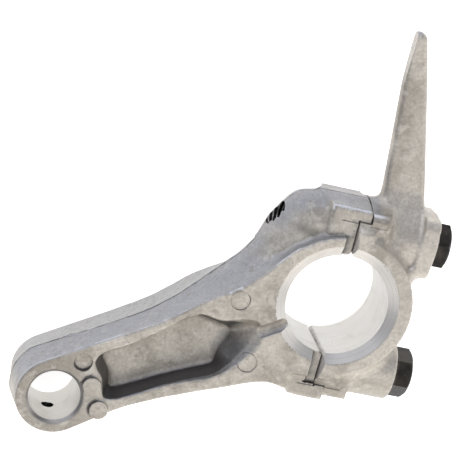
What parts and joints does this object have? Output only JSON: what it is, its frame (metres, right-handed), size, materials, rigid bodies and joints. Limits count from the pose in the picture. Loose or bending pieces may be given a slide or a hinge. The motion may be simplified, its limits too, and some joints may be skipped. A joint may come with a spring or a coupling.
{
  "type": "connecting rod",
  "caption": "Cast aluminium connecting rod for a small engine, with an obliquely split big end, a bearing cap with a long oil dipper, and hexagon cap bolts.",
  "frame": {"origin": "centre of the crankpin bore at mid-thickness", "axes": "+Z along the crankpin bore towards the face with the round casting marks, +X from the piston pin bore towards the crankpin bore, +Y towards the side that carries the oil dipper"},
  "size_m": [0.1246, 0.0912, 0.022],
  "materials": {
    "cast_aluminium": "as cast, fine matte grain, with machined bores",
    "blackened_steel": "black oxide, satin"
  },
  "bodies": {
    "rod": {"rod": "cast_aluminium"},
    "cap": {"bearing_cap": "cast_aluminium"},
    "upper_bolt": {"upper_cap_bolt": "blackened_steel"},
    "lower_bolt": {"lower_cap_bolt": "blackened_steel"}
  },
  "joints": [
    {"name": "cap_draw", "type": "slide", "parent": "rod", "child": "cap", "axis": [0.8572, -0.515, 0], "range_m": [0, 0.012]},
    {"name": "upper_bolt_turn", "type": "hinge", "parent": "cap", "child": "upper_bolt", "pos_m": [0.02741, 0.00406, 0], "axis": [0.8572, -0.515, 0], "range_deg": [0, 4320]},
    {"name": "lower_bolt_turn", "type": "hinge", "parent": "cap", "child": "lower_bolt", "pos_m": [0.00928, -0.02611, 0], "axis": [0.8572, -0.515, 0], "range_deg": [0, 4320]}
  ],
  "couplings": [
    {"joint": "upper_bolt_turn", "follows": "cap_draw", "rad_per_m": 6283.2},
    {"joint": "lower_bolt_turn", "follows": "cap_draw", "rad_per_m": 6283.2}
  ]
}
